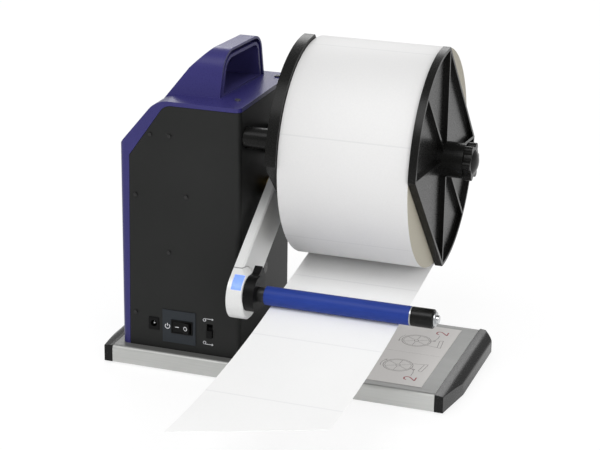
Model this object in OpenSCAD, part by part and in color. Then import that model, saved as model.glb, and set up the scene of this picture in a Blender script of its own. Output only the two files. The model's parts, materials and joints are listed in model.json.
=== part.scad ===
// Label rewinder: a desktop winder that takes up a printed label web on a driven spindle.
// Millimetres, +Z up, front faces -Y, the spindle points along +X.

/* [Base] */
// Length of the aluminium extrusion
base_length = 330; // [310:1:350]
// Depth of the aluminium extrusion
base_depth = 174; // [168:1:186]
// Height of the aluminium extrusion
base_height = 17.5; // [15:0.5:20]
// Wall of the aluminium extrusion
base_wall = 2.5; // [2:0.1:3]
// Rounding of the long top edges
base_edge = 4; // [2:0.5:6]
// Thickness of the anti-slip pad
pad_height = 2; // [1:0.5:4]
// How far an end cap stands out
cap_out = 16; // [14:0.5:20]
// Height of an end cap at its outer edge
cap_edge = 10.5; // [8:0.5:12]
// Length of the plugs that hold an end cap
cap_plug = 8; // [5:0.5:12]
// Thickness of the printed guide label
label_film = 0.3; // [0.2:0.1:0.6]

/* [Tower] */
// Distance from the left end of the extrusion to the tower
tower_inset = 6.3; // [4:0.1:12]
// Width of the tower
tower_width = 124.2; // [121:0.1:132]
// Depth of the tower
tower_depth = 142.5; // [140:0.5:150]
// Offset of the tower from the middle of the base
tower_shift = -4.25; // [-8:0.25:0]
// Height of the tower above the base
tower_height = 252.5; // [248:0.5:260]
// Height of the sloped shoulder
shoulder_height = 47; // [42:1:52]
// Width of the sloped shoulder
shoulder_width = 39; // [36:1:46]
// Rounding between the shoulder and the top
shoulder_round = 26; // [18:1:30]
// Rounding of the upright corners
tower_round = 6; // [4:0.5:9]
// Thickness of the black sheet housing
sheet = 2; // [1.5:0.1:2.5]
// Wall of the plastic cover
cover_wall = 2.6; // [2.2:0.1:3]
// Width of the cover strip beside the front panel at the base
strip_low = 8.7; // [6:0.1:11]
// Width of the cover strip beside the front panel at the shoulder
strip_high = 10.8; // [9:0.1:14]
// Depth of the cover strip above the front panel
strip_top = 4.5; // [3.6:0.1:8]
// Rounding of the front panel's upper corner
panel_round = 13; // [8:1:18]
// Gap between the cover and the housing
panel_gap = 0.3; // [0.2:0.05:0.5]

/* [Grip] */
// Height of the grip hood above the tower
grip_height = 43; // [40:1:48]
// Width of the grip hood at the tower
grip_width = 57; // [54:1:60]
// Front edge of the grip hood
grip_front = -47; // [-52:1:-44]
// Back edge of the grip hood
grip_back = 55.5; // [52:0.5:60]
// Lean of the front face
grip_lean_front = 11; // [6:1:18]
// Lean of the back face
grip_lean_back = 8; // [4:1:14]
// Lean of the left face
grip_lean_left = 41.5; // [36:0.5:44]
// Turn of the open face, front to back
grip_skew = 8; // [4:1:10]
// Turn of the hood's left slope
grip_turn = 4.5; // [3:0.5:6]
// Place along the depth about which that slope is turned
grip_turn_at = 22; // [18:1:30]
// Height of the bend in that slope
grip_bend = 25.5; // [22:0.5:30]
// How far the slope leans below its bend
grip_lean_low = 29.5; // [26:0.5:34]
// Rounding of the upper front corner
grip_round = 24; // [16:1:26]
// Rounding of the upper back corner
grip_round_back = 17; // [14:1:20]
// Wall of the grip hood
grip_wall = 2.5; // [2:0.5:4]
// Gap between the hood and its liner
liner_gap = 3.5; // [2.5:0.5:5]
// Wall of the liner
liner_wall = 3; // [2.5:0.5:4]
// Floor of the liner
liner_floor = 1.6; // [1:0.1:1.8]

/* [Front panel] */
// Centre of the power switch from the right wall
power_x = 59.8; // [56:0.1:63]
// Centre of the panel controls above the base
control_rise = 25.3; // [24:0.1:30]
// Length of the rocker
rocker_length = 18.2; // [17:0.1:19]
// Height of the rocker
rocker_height = 11; // [10:0.1:12]
// Tilt of the rocker to each side
rocker_tilt = 8; // [6:0.5:10]
// Centre of the direction switch from the right wall
direction_x = 31; // [28:0.1:34]
// Travel of the direction slider
direction_travel = 6; // [4:0.5:7]
// Height of the direction slider
direction_knob = 8; // [7:0.5:9]
// Centre of the power inlet from the right wall
inlet_x = 89.9; // [88:0.1:92]
// Radius of the power inlet bore
inlet_bore = 3.2; // [3:0.1:3.5]
// Radius of the power inlet pin
inlet_pin = 1.05; // [0.9:0.05:1.25]
// Radius of a panel screw
screw_shank = 1.4; // [1.2:0.1:1.6]
// Radius of a panel screw head
screw_head = 1.9; // [1.8:0.1:3]

/* [Spindle] */
// Spindle axis from the middle of the base
spindle_y = 5; // [2:0.5:8]
// Spindle axis below the top of the tower
spindle_drop = 50.7; // [48:0.1:54]
// Radius of the spindle shaft
shaft_r = 6; // [5.5:0.1:6.5]
// Radius of the spindle bearings
bearing_r = 12; // [11.5:0.1:13]
// Width of the spindle bearings
bearing_width = 6; // [5:0.5:8]
// Radius of the bearing block boss
boss_r = 15; // [14.5:0.5:16]
// Distance from the right wall to the inner flange
flange_gap = 34.5; // [34:0.5:38]
// Depth of the flanges
flange_depth = 10.7; // [9:0.1:12]
// Radius of the flanges
flange_r = 108.5; // [106:0.5:110]
// Distance of the flange flats from the axis
flange_flat = 74; // [70:0.5:78]
// Thickness of the flange webs, rims and ribs
flange_wall = 3; // [2.5:0.1:3.5]
// Depth of the outer flange
outer_depth = 7.4; // [6.5:0.1:9]
// Width of the label roll
roll_width = 125; // [110:1:125]
// Radius of the label roll
roll_r = 105; // [70:0.5:105]
// Bore radius of the three-inch core
core_bore = 38.1; // [38:0.05:38.2]
// Wall of the core
core_wall = 3.9; // [3:0.1:5]
// Radius of the mandrel under the core
mandrel_r = 37.5; // [37:0.1:37.7]
// Length of the mandrel
mandrel_length = 109; // [90:1:112]
// Radius of the outer flange hub
hub_r = 17; // [16:0.5:18]
// Length of the outer flange hub
hub_length = 19; // [16:0.5:22]
// Depth of the clamp knob
knob_depth = 7.8; // [7:0.1:9]
// Radius of the clamp knob over its lobes
knob_r = 18.5; // [17.5:0.5:20]

/* [Drive] */
// Distance between the spindle and the motor shaft
belt_span = 48; // [46:0.5:50]
// Direction of the motor shaft below the spindle
belt_angle = -42; // [-46:1:-38]
// Radius of the two belt pulleys
pulley_r = 14; // [12:0.5:15]
// Width of the belt pulleys
pulley_width = 10; // [8:0.5:11]
// Thickness of the belt
belt_thickness = 1.5; // [1:0.1:2]
// Radius of the gearhead
gearhead_r = 18.5; // [17.5:0.5:19]
// Radius of the motor can
motor_r = 17.5; // [16:0.5:18.5]
// Radius of the motor shaft
motor_shaft_r = 3; // [2.5:0.1:4]

/* [Arm] */
// Arm pivot from the spindle axis, along the depth
pivot_back = 0.5; // [-2:0.5:3]
// Arm pivot below the spindle axis
pivot_drop = 48.4; // [47:0.1:52]
// Length of the arm between its centres
arm_length = 132.5; // [130:0.5:136]
// Slope of the arm at rest
arm_slope = 32.7; // [31:0.1:34]
// Half width of the arm
arm_half = 23; // [23:0.5:25.5]
// Thickness of the straight part of the arm's end
arm_flat = 15; // [13:0.5:15.5]
// Thickness of the arm above its end cover
arm_thin = 9.5; // [8.5:0.5:11]
// Depth of the rounded front edge of the arm
arm_round = 1.5; // [1:0.5:3]
// Gap between the arm and the right wall
arm_gap = 6.5; // [5.5:0.5:7]
// Radius of the seam between the arm and its end cover
arm_seam = 26.5; // [26:0.5:30]
// Radius of the arm pivot shaft
pivot_r = 6; // [5:0.1:7]
// Wall of the arm pivot bush
bush_wall = 4; // [3:0.5:5]
// Radius of the lower arm stop
stop_r = 6; // [5:0.5:7]
// Radius of the upper arm stop
stop_top_r = 10.5; // [9:0.5:11]

/* [Roller] */
// Roller axis from the arm end, along the depth
roller_y = -5.6; // [-7:0.1:-4]
// Roller axis from the arm end, upward
roller_z = 4.4; // [3:0.1:6]
// Radius of the roller sleeve
roller_r = 9; // [8:0.5:10]
// Length of the roller sleeve
roller_length = 141.5; // [138:0.5:146]
// Thickness of the roller sleeve
sleeve_wall = 1.5; // [1:0.1:2]
// Radius of the roller axle
axle_r = 4; // [3.5:0.1:4.5]
// Length of the roller end cap
roller_cap = 20.8; // [18:0.1:23]
// Radius of the roller holder barrel
holder_r = 17; // [15:0.5:18]
// Depth of the roller holder barrel
holder_depth = 10.5; // [9:0.5:11]
// Length of the roller holder neck from the roller axis
holder_neck = 26; // [22:0.5:34]

/* [Label web] */
// Thickness of the label web
web_thickness = 0.3; // [0.2:0.05:0.4]
// Gap between the web and the rollers
web_gap = 0.3; // [0.25:0.05:0.5]
// Slope of the incoming web at the roller
web_slope = 9.8; // [8:0.1:11]
// Radius of the sag in the incoming web
web_sag = 1200; // [900:50:1600]
// Free length of the incoming web along its left edge
web_length = 258; // [200:1:280]
// How much shorter its right edge is
web_cut = 54.5; // [20:0.5:60]

/* [Fits] */
// Radial clearance of a turning or sliding fit
run_fit = 0.05; // [0.03:0.01:0.08]
// Radial clearance of a fixed fit
set_fit = 0.02; // [0.01:0.01:0.04]
// Clearance around a piece set in a cut-out
cut_fit = 0.2; // [0.1:0.05:0.3]

/* [Hidden] */
$fn = 72;
base_top = pad_height + base_height;
base_ribs = 5;
chamber = (base_depth - (base_ribs + 2) * base_wall) / (base_ribs + 1);
tower_left = -base_length / 2 + tower_inset;
wall_x = tower_left + tower_width;
wall_in = wall_x - sheet;
tower_front = tower_shift - tower_depth / 2;
tower_back = tower_shift + tower_depth / 2;
panel_in = tower_front + sheet;
tower_top = base_top + tower_height;
shoulder_z = tower_top - shoulder_height;
panel_top = tower_top - strip_top;
panel_shoulder = shoulder_z - 10;
panel_corner = tower_left + shoulder_width + 8.5;
shoulder_slope = atan2(shoulder_height, shoulder_width);
shoulder_drop = 15;
grip_right = tower_left + shoulder_width + grip_width;
control_z = base_top + control_rise;
power_at = wall_x - power_x;
rocker_half = rocker_length / 2;
rocker_pivot = tower_front + 2;
rocker_room = norm([rocker_half, 5.3]) * cos(atan2(5.3, rocker_half) - rocker_tilt) + 0.3;
switch_x = rocker_room + 0.6;
switch_z = rocker_height / 2 + 0.9;
direction_at = wall_x - direction_x;
direction_half = (direction_knob + direction_travel) / 2 + 0.25;
inlet_at = wall_x - inlet_x;
panel_screw_at = [[-91.5, 218.5], [-71.8, 218.8], [-107.7, 156.5], [-54.8, 159.9], [-73.2, 101.2], [-109.3, 34.5]];
cover_screw_at = [[-13, -48], [-9, 50]];
spindle_z = tower_top - spindle_drop;
inner_back = wall_x + flange_gap;
inner_face = inner_back + flange_depth;
roll_start = inner_face + 0.3;
roll_end = roll_start + roll_width;
outer_face = roll_end + 0.5;
hub_end = outer_face + outer_depth + hub_length;
knob_start = hub_end + 0.2;
knob_end = knob_start + knob_depth;
shaft_end = knob_end - 2;
flange_turn = 43;
flange_corner = acos(flange_flat / flange_r);
core_r = core_bore + core_wall;
block_in = wall_in - 4;
block_out = inner_back - 14;
plate_x = wall_x - 52;
plate_wall = 3;
pulley_x = wall_x - 40;
motor_y = spindle_y + belt_span * cos(belt_angle);
motor_z = spindle_z + belt_span * sin(belt_angle);
gearhead_length = 22;
motor_length = 46;
pivot_y = spindle_y + pivot_back;
pivot_z = spindle_z - pivot_drop;
arm_dir = [-cos(arm_slope), -sin(arm_slope)];
arm_down = [sin(arm_slope), -cos(arm_slope)];
arm_end = [pivot_y, pivot_z] + arm_length * arm_dir;
arm_back = wall_x + arm_gap;
arm_mid = arm_back + arm_flat;
arm_front = arm_mid + arm_round;
arm_face = arm_back + arm_thin;
stop_low_at = [pivot_y, pivot_z] + 0.5822 * arm_length * arm_dir + (arm_half + stop_r + 0.3) * arm_down;
stop_top_at = [spindle_y - 65, spindle_z + 19.7];
roller_at = arm_end + [roller_y, roller_z];
holder_end = arm_front + holder_depth;
roller_start = roll_start - 5;
roller_end = roller_start + roller_length;
roller_cap_end = roller_end + 0.2 + roller_cap;
axle_end = roller_cap_end + 4.5;
tube_r = roller_r - sleeve_wall;
tube_lip = 1;
spindle_at = [spindle_y, spindle_z];
web_span = spindle_at - roller_at;
web_angle = atan2(web_span[1], web_span[0]) - asin((roll_r - roller_r) / norm(web_span));
board_y = panel_in + 7.5;
board_wall = 1.6;

function arc(c, r, a0, a1, n) =
    [for (i = [0:n]) c + r * [cos(a0 + (a1 - a0) * i / n), sin(a0 + (a1 - a0) * i / n)]];

// Solids drawn in the XZ plane and extruded along Y
module along_y(y0, y1) {
    translate([0, y1, 0]) rotate([90, 0, 0]) linear_extrude(y1 - y0) children();
}

// Solids drawn in the YZ plane and extruded along X
module along_x(x0, x1) {
    translate([x0, 0, 0]) rotate([90, 0, 90]) linear_extrude(x1 - x0) children();
}

// Round bar along X
module rod(x0, x1, r, at) {
    translate([x0, at[0], at[1]]) rotate([0, 90, 0]) cylinder(h = x1 - x0, r = r);
}

// Round bar along Y
module peg(y0, y1, r, x, z) {
    translate([x, y1, z]) rotate([90, 0, 0]) cylinder(h = y1 - y0, r = r);
}

module box(x0, x1, y0, y1, z0, z1) {
    translate([x0, y0, z0]) cube([x1 - x0, y1 - y0, z1 - z0]);
}

module round_rect(x0, x1, y0, y1, r) {
    translate([x0 + r, y0]) square([x1 - x0 - 2 * r, y1 - y0]);
    translate([x0, y0 + r]) square([x1 - x0, y1 - y0 - 2 * r]);
    for (x = [x0 + r, x1 - r]) for (y = [y0 + r, y1 - r]) translate([x, y]) circle(r);
}

// Base: hollow extrusion, its end caps, the pad and the printed label
module base_profile() {
    translate([-base_depth / 2, pad_height]) square([base_depth, base_height - base_edge]);
    translate([-base_depth / 2 + base_edge, pad_height]) square([base_depth - 2 * base_edge, base_height]);
    for (s = [-1, 1]) translate([s * (base_depth / 2 - base_edge), base_top - base_edge]) circle(base_edge);
}

module chambers(list, inset) {
    for (i = list)
        translate([-base_depth / 2 + base_wall + i * (chamber + base_wall) + inset, pad_height + base_wall + inset])
            square([chamber - 2 * inset, base_height - 2 * base_wall - 2 * inset]);
}

module base_extrusion() color("silver") {
    along_x(-base_length / 2, base_length / 2) difference() {
        base_profile();
        chambers([0:base_ribs], 0);
    }
}

module end_cap(side) {
    d = base_depth / 2;
    plan = [[0, -d], [8.5, -d], [cap_out, -d + 48], [cap_out, d - 14], [6, d], [0, d]];
    crown = [for (i = [0:12]) let (a = 90 - i * 7.5)
        [cap_out * cos(a), pad_height + cap_edge + (base_height - cap_edge) * sin(a)]];
    foot = [[cap_out, pad_height], [0, pad_height]];
    translate([side * base_length / 2, 0, 0]) {
        intersection() {
            linear_extrude(base_top + 1) polygon([for (q = plan) [side * q[0], q[1]]]);
            along_y(-d, d) polygon([for (q = concat(crown, foot)) [side * q[0], q[1]]]);
        }
        along_x(min(-side * cap_plug, side * 0.5), max(-side * cap_plug, side * 0.5))
            chambers([1, base_ribs - 1], cut_fit);
    }
}

module end_cap_right() color("#181818") end_cap(1);

module end_cap_left() color("#181818") end_cap(-1);

module anti_slip_pad() color("#303030")
    box(-base_length / 2 + 15, base_length / 2 - 15, -base_depth / 2 + 12, base_depth / 2 - 12, 0, pad_height);

module guide_label() color("#d8d8d4")
    box(base_length / 2 - 93, base_length / 2 - 16, -base_depth / 2 + 12, base_depth / 2 - 12,
        base_top, base_top + label_film);

// Tower: sheet housing, plastic cover and grip
module tower_plan(x0, inset) {
    round_rect(x0, wall_x - inset, tower_front + inset, tower_back - inset, tower_round - inset);
}

module panel_outline(gap, low, right) {
    slope = atan2(panel_top - panel_shoulder, panel_corner - tower_left - strip_high);
    polygon(concat([[tower_left + strip_low - gap, low], [tower_left + strip_high - gap, panel_shoulder + gap]],
        arc([panel_corner + panel_round * tan(slope / 2), panel_top - panel_round], panel_round + gap, 90 + slope, 90, 6),
        [[right, panel_top + gap], [right, low]]));
}

module panel_cuts() {
    for (p = panel_screw_at) peg(tower_front - 1, panel_in + 1, screw_shank + cut_fit, wall_x + p[0], base_top + p[1]);
    box(power_at - switch_x - cut_fit, power_at + switch_x + cut_fit, tower_front - 1, panel_in + 1,
        control_z - switch_z - cut_fit, control_z + switch_z + cut_fit);
    box(inlet_at - 4.5 - cut_fit, inlet_at + 4.5 + cut_fit, tower_front - 1, panel_in + 1,
        control_z - 5.5 - cut_fit, control_z + 5.5 + cut_fit);
    box(direction_at - 3.25, direction_at + 3.25, tower_front - 1, panel_in + 1,
        control_z - direction_half, control_z + direction_half);
}

module side_housing() color("#2a2b2a") difference() {
    union() {
        intersection() {
            translate([0, 0, base_top]) linear_extrude(tower_height) difference() {
                tower_plan(tower_left, 0);
                tower_plan(tower_left - 20, sheet);
            }
            along_y(tower_front - 1, tower_back + 1) panel_outline(0, base_top - 1, wall_x + 1);
        }
        box(tower_left + strip_low, wall_in - 5, panel_in - 0.5, tower_back - sheet + 0.5, base_top, base_top + sheet);
        box(wall_in - 6, wall_in + 0.5, tower_front + tower_round, tower_back - tower_round, base_top, base_top + sheet);
        for (p = cover_screw_at)
            box(wall_x + p[0] - 7, wall_in + 0.5, p[1] - 6, p[1] + 6, panel_top - sheet, panel_top);
    }
    panel_cuts();
    rod(wall_in - 1, wall_x + 1, boss_r + cut_fit, spindle_at);
    rod(wall_in - 1, wall_x + 1, pivot_r + bush_wall + cut_fit, [pivot_y, pivot_z]);
    for (p = cover_screw_at)
        translate([wall_x + p[0], p[1], panel_top - sheet - 1]) cylinder(h = sheet + 2, r = screw_shank + cut_fit);
}

function grip_side(inset) = let (
        fa = atan2(grip_height, grip_lean_front),
        ba = atan2(grip_height, grip_lean_back),
        cz = tower_top + grip_height - grip_round,
        bz = tower_top + grip_height - grip_round_back,
        cf = [grip_front + grip_lean_front * (1 - grip_round / grip_height) + grip_round / sin(fa), cz],
        cb = [grip_back - grip_lean_back * (1 - grip_round_back / grip_height) - grip_round_back / sin(ba), bz],
        low = shoulder_drop / grip_height)
    concat([[grip_front - grip_lean_front * low + inset / sin(fa), tower_top - shoulder_drop]],
        arc(cf, grip_round - inset, fa + 90, 90, 8), arc(cb, grip_round_back - inset, 90, 90 - ba, 8),
        [[grip_back + grip_lean_back * low - inset / sin(ba), tower_top - shoulder_drop]]);

module grip_body(inset, right) {
    la = atan2(grip_height, grip_lean_left);
    x0 = tower_left + shoulder_width + inset / sin(la);
    h = grip_height - inset;
    bend = grip_lean_left * grip_bend / grip_height;
    intersection() {
        along_x(x0 - 25, right + grip_skew) polygon(grip_side(inset));
        translate([x0, grip_turn_at, 0]) rotate([0, 0, -grip_turn]) along_y(grip_front - 50, grip_back) polygon([
            [bend - grip_lean_low, tower_top - shoulder_drop], [bend, tower_top + grip_bend],
            [grip_lean_left * h / grip_height, tower_top + h],
            [right + 20 - x0, tower_top + h], [right + 20 - x0, tower_top - shoulder_drop]]);
        translate([0, 0, tower_top - shoulder_drop]) linear_extrude(grip_height + shoulder_drop + 1)
            polygon([[x0 - 25, grip_front - 8], [right - grip_skew / 2, grip_front - 8],
                [right + grip_skew / 2, grip_back + 8], [x0 - 25, grip_back + 8]]);
    }
}

module cover_envelope(inset) {
    turn = [tower_left + shoulder_width + shoulder_round * tan(shoulder_slope / 2), tower_top - shoulder_round];
    polygon(concat([[tower_left + inset, base_top],
        [tower_left + inset, shoulder_z + inset * (sin(shoulder_slope) - 1) / cos(shoulder_slope)]],
        arc(turn, shoulder_round - inset, 90 + shoulder_slope, 90, 8),
        [[wall_x - inset, tower_top - inset], [wall_x - inset, base_top]]));
}

module top_cover() color("#3c3678") difference() {
    union() {
        difference() {
            intersection() {
                translate([0, 0, base_top]) linear_extrude(tower_height) tower_plan(tower_left, 0);
                along_y(tower_front, tower_back) cover_envelope(0);
            }
            along_y(tower_front - 1, tower_back + 1) panel_outline(panel_gap, base_top - 1, wall_x + 1);
            along_y(tower_front + cover_wall, tower_back - cover_wall) {
                cover_envelope(cover_wall);
                translate([tower_left + cover_wall, base_top - 1]) square([80, 2]);
            }
        }
        for (p = cover_screw_at)
            translate([wall_x + p[0], p[1], panel_top]) cylinder(h = strip_top - cover_wall + 0.5, r = 4);
        difference() {
            grip_body(0, grip_right);
            grip_body(grip_wall, grip_right + 1);
            along_y(tower_front, tower_back) cover_envelope(cover_wall / 2);
        }
    }
    for (p = cover_screw_at)
        translate([wall_x + p[0], p[1], panel_top - 1]) cylinder(h = strip_top + 2, r = screw_shank + cut_fit);
}

module grip_liner() color("#26224c") difference() {
    intersection() {
        grip_body(grip_wall + liner_gap, grip_right - 0.5);
        box(tower_left, wall_x, tower_front, tower_back, tower_top, tower_top + grip_height);
    }
    intersection() {
        grip_body(grip_wall + liner_gap + liner_wall, grip_right + 1);
        box(tower_left, wall_x, tower_front, tower_back, tower_top + liner_floor, tower_top + grip_height);
    }
}

// Front panel: controls, inlet and screws
module switch_plate() color("#3a4250") difference() {
    box(power_at - 20.7, power_at + 14.3, tower_front - 1, tower_front, control_z - 17.5, control_z + 16.5);
    box(power_at - switch_x - cut_fit, power_at + switch_x + cut_fit, tower_front - 2, tower_front + 1,
        control_z - switch_z - cut_fit, control_z + switch_z + cut_fit);
}

module power_switch_body() color("#151515") {
    difference() {
        union() {
            box(power_at - switch_x - 0.6, power_at + switch_x + 0.6, tower_front - 2, tower_front - 1,
                control_z - switch_z - 0.6, control_z + switch_z + 0.6);
            box(power_at - switch_x, power_at + switch_x, tower_front - 1.5, tower_front + 16,
                control_z - switch_z, control_z + switch_z);
        }
        box(power_at - rocker_room, power_at + rocker_room, tower_front - 3, tower_front + 9,
            control_z - rocker_height / 2 - 0.3, control_z + rocker_height / 2 + 0.3);
    }
    translate([power_at, rocker_pivot, control_z - switch_z + 0.5]) cylinder(h = 2 * switch_z - 1, r = 1.5);
    for (dx = [-6, 6]) box(power_at + dx - 2, power_at + dx + 2, tower_front + 16, tower_front + 22,
        control_z - 0.4, control_z + 0.4);
}

module power_rocker() color("#101010")
    translate([power_at, rocker_pivot, control_z - rocker_height / 2]) rotate([0, 0, -rocker_tilt])
        linear_extrude(rocker_height) difference() {
            union() {
                polygon([[-rocker_half, -1], [-rocker_half, -5.3], [0, -4.02], [rocker_half, -5.3], [rocker_half, -1]]);
                circle(3);
            }
            circle(1.5 + run_fit);
        }

module dc_jack() color("#1a1a1a") {
    difference() {
        union() {
            box(inlet_at - 5.5, inlet_at + 5.5, tower_front - 1, tower_front, control_z - 6.5, control_z + 6.5);
            box(inlet_at - 4.5, inlet_at + 4.5, tower_front - 0.5, tower_front + 14, control_z - 5.5, control_z + 5.5);
        }
        peg(tower_front - 2, tower_front + 10, inlet_bore, inlet_at, control_z);
    }
    peg(tower_front + 1, tower_front + 11, inlet_pin, inlet_at, control_z);
}

module direction_switch_body() color("#202020") difference() {
    box(direction_at - 5.5, direction_at + 5.5, panel_in, panel_in + 7,
        control_z - direction_half - 4, control_z + direction_half + 4);
    box(direction_at - 4.2, direction_at + 4.2, panel_in - 1, panel_in + 4,
        control_z - direction_half - 2.5, control_z + direction_half + 2.5);
}

module direction_slider() color("#0c0c0c") {
    z0 = control_z - (direction_knob + direction_travel) / 2;
    box(direction_at - 3, direction_at + 3, tower_front - 2.2, panel_in + 1, z0, z0 + direction_knob);
    box(direction_at - 4, direction_at + 4, panel_in + 0.3, panel_in + 3.7, z0 - 2, z0 + direction_knob + 2);
}

module panel_screws() color("#8c8c8c")
    for (p = panel_screw_at) {
        peg(tower_front - 1.3, tower_front, screw_head, wall_x + p[0], base_top + p[1]);
        peg(tower_front - 0.5, panel_in + 4, screw_shank, wall_x + p[0], base_top + p[1]);
    }

module cover_screws() color("#8c8c8c")
    for (p = cover_screw_at) translate([wall_x + p[0], p[1], 0]) {
        translate([0, 0, tower_top]) cylinder(h = 1.5, r = screw_head + 0.8);
        translate([0, 0, panel_top - sheet - 4]) cylinder(h = strip_top + sheet + 5, r = screw_shank);
    }

// Drive: bearings, frame, motor, belt and electronics inside the tower
module bearing_block() color("#1c1c1c") difference() {
    union() {
        rod(block_in, wall_in, boss_r + 7, spindle_at);
        rod(block_in, block_out, boss_r, spindle_at);
    }
    rod(block_in - 1, block_out - 2, bearing_r + run_fit, spindle_at);
    rod(block_in - 1, block_out + 1, shaft_r + 2, spindle_at);
}

module bearing(x0) difference() {
    rod(x0, x0 + bearing_width, bearing_r, spindle_at);
    rod(x0 - 1, x0 + bearing_width + 1, shaft_r + run_fit, spindle_at);
}

module front_bearing() color("#b8bcc0") bearing(block_out - 2 - bearing_width);

module rear_bearing() color("#b8bcc0") bearing(plate_x + plate_wall - bearing_width);

module drive_frame() color("#a8acb0") difference() {
    union() {
        along_x(plate_x, plate_x + plate_wall)
            round_rect(spindle_y - 45, tower_back - 9, pivot_z - 28, spindle_z + 28, 6);
        rod(plate_x - bearing_width, plate_x + 1, bearing_r + 4, spindle_at);
        for (y = [spindle_y - 37, tower_back - 17]) for (z = [pivot_z - 20, spindle_z + 20])
            rod(plate_x + 1, wall_in, 4, [y, z]);
    }
    rod(plate_x - bearing_width + 1, plate_x + plate_wall + 1, bearing_r + run_fit, spindle_at);
    rod(plate_x - bearing_width - 1, plate_x + plate_wall, shaft_r + 2, spindle_at);
    rod(plate_x - 1, plate_x + plate_wall + 1, motor_shaft_r + 3, [motor_y, motor_z]);
}

module gearhead() color("#9a9c9e") difference() {
    rod(plate_x - gearhead_length, plate_x, gearhead_r, [motor_y, motor_z]);
    rod(plate_x - 12, plate_x + 1, motor_shaft_r + run_fit, [motor_y, motor_z]);
}

module motor_can() color("#55585a") {
    rod(plate_x - gearhead_length - motor_length, plate_x - gearhead_length, motor_r, [motor_y, motor_z]);
}

module pulley(at, bore) difference() {
    union() {
        rod(pulley_x, pulley_x + pulley_width, pulley_r, at);
        rod(pulley_x - 1.5, pulley_x, pulley_r + 2.5, at);
        rod(pulley_x + pulley_width, pulley_x + pulley_width + 1.5, pulley_r + 2.5, at);
    }
    rod(pulley_x - 3, pulley_x + pulley_width + 3, bore, at);
}

module motor_pulley() color("#c8c8c0") {
    pulley([motor_y, motor_z], motor_shaft_r - 0.5);
    rod(plate_x - 10, pulley_x + pulley_width + 2, motor_shaft_r, [motor_y, motor_z]);
}

module belt_loop(r) {
    polygon(concat(arc(spindle_at, r, belt_angle + 90, belt_angle + 270, 24),
        arc([motor_y, motor_z], r, belt_angle - 90, belt_angle + 90, 24)));
}

module drive_belt() color("#101010") along_x(pulley_x + 1, pulley_x + pulley_width - 1) difference() {
    belt_loop(pulley_r + 0.3 + belt_thickness);
    belt_loop(pulley_r + 0.3);
}

module control_board() color("#1f5a32") difference() {
    box(tower_left + 16, wall_x - 20, board_y, board_y + board_wall, base_top + 40.5, base_top + 130.5);
    for (x = [tower_left + 21, wall_x - 25]) for (z = [base_top + 45.5, base_top + 125.5])
        peg(board_y - 1, board_y + board_wall + 1, 1.6, x, z);
}

module board_standoffs() color("#c8a040")
    for (x = [tower_left + 21, wall_x - 25]) for (z = [base_top + 45.5, base_top + 125.5]) {
        peg(panel_in, board_y, 3, x, z);
        peg(board_y - 0.5, board_y + board_wall + 1.5, 1.4, x, z);
    }

module board_parts() color("#303238") {
    y0 = board_y + board_wall;
    for (x = [tower_left + 34, tower_left + 46]) peg(y0, y0 + 14, 5, x, base_top + 112);
    box(tower_left + 58, tower_left + 74, y0, y0 + 3, base_top + 86, base_top + 102);
    box(tower_left + 30, tower_left + 44, y0, y0 + 2.5, base_top + 70, base_top + 90);
    box(tower_left + 62, tower_left + 88, y0, y0 + 9, base_top + 50, base_top + 57);
    box(tower_left + 82, tower_left + 94, y0, y0 + 12, base_top + 104, base_top + 122);
}

// Arm bearing, sensor and stops on the right wall
module arm_pivot_bush() color("#b89a50") difference() {
    union() {
        rod(wall_in - 28, arm_back - 0.6, pivot_r + bush_wall, [pivot_y, pivot_z]);
        rod(wall_in - 4, wall_in, pivot_r + bush_wall + 5, [pivot_y, pivot_z]);
    }
    rod(wall_in - 29, arm_back + 1, pivot_r + run_fit, [pivot_y, pivot_z]);
}

module arm_sensor() color("#20242c") difference() {
    box(plate_x + plate_wall, plate_x + plate_wall + 14, pivot_y - 12, pivot_y + 12, pivot_z - 12, pivot_z + 12);
    rod(plate_x + plate_wall + 6, plate_x + plate_wall + 15, pivot_r - 2 + 0.4, [pivot_y, pivot_z]);
}

module arm_stop_upper() color("#181818") difference() {
    rod(wall_x, inner_back - 8, stop_top_r, stop_top_at);
    rod(inner_back - 11, inner_back - 7, 4.5, stop_top_at);
}

module arm_stop_lower() color("#181818") rod(wall_x, arm_face - 1, stop_r, stop_low_at);

// Label web: in from the printer, under the roller and on to the underside of the roll
function web_side(t) = let (
        r1 = roller_r + web_gap + t,
        r2 = roll_r + web_gap + t,
        a0 = web_slope - 90,
        a1 = web_angle - 90,
        sag_at = roller_at + (web_sag - roller_r - web_gap) * [-sin(web_slope), cos(web_slope)],
        sweep = web_length / web_sag * 180 / PI,
        sag = arc(sag_at, web_sag + t, a0 - sweep, a0, 12))
    concat([for (i = [0:11]) sag[i]], arc(roller_at, r1, a0, a1, 3), [spindle_at + r2 * [cos(a1), sin(a1)]]);

module label_web() color("#f4f4f2") {
    top = web_side(0);
    low = web_side(web_thickness);
    tip = top[0][0] + 1;
    x0 = roll_start + 0.3;
    x1 = roll_end - 0.3;
    intersection() {
        along_x(x0, x1) polygon(concat(top, [for (i = [len(low) - 1:-1:0]) low[i]]));
        linear_extrude(tower_top)
            polygon([[x0 - 1, tip], [x0, tip], [x1, tip + web_cut], [x1 + 1, tip + web_cut], [x1 + 1, tower_back],
                [x0 - 1, tower_back]]);
    }
}

// Spindle and the roll it carries
module spindle_shaft() color("#c0c2c4") rod(plate_x - 13, shaft_end, shaft_r, spindle_at);

module spindle_pulley() color("#c8c8c0") pulley(spindle_at, shaft_r + set_fit);

module spindle_collar() color("#a0a2a4") difference() {
    rod(pulley_x + pulley_width + 4, pulley_x + pulley_width + 11, shaft_r + 4, spindle_at);
    rod(pulley_x + pulley_width + 3, pulley_x + pulley_width + 12, shaft_r + set_fit, spindle_at);
}

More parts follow.
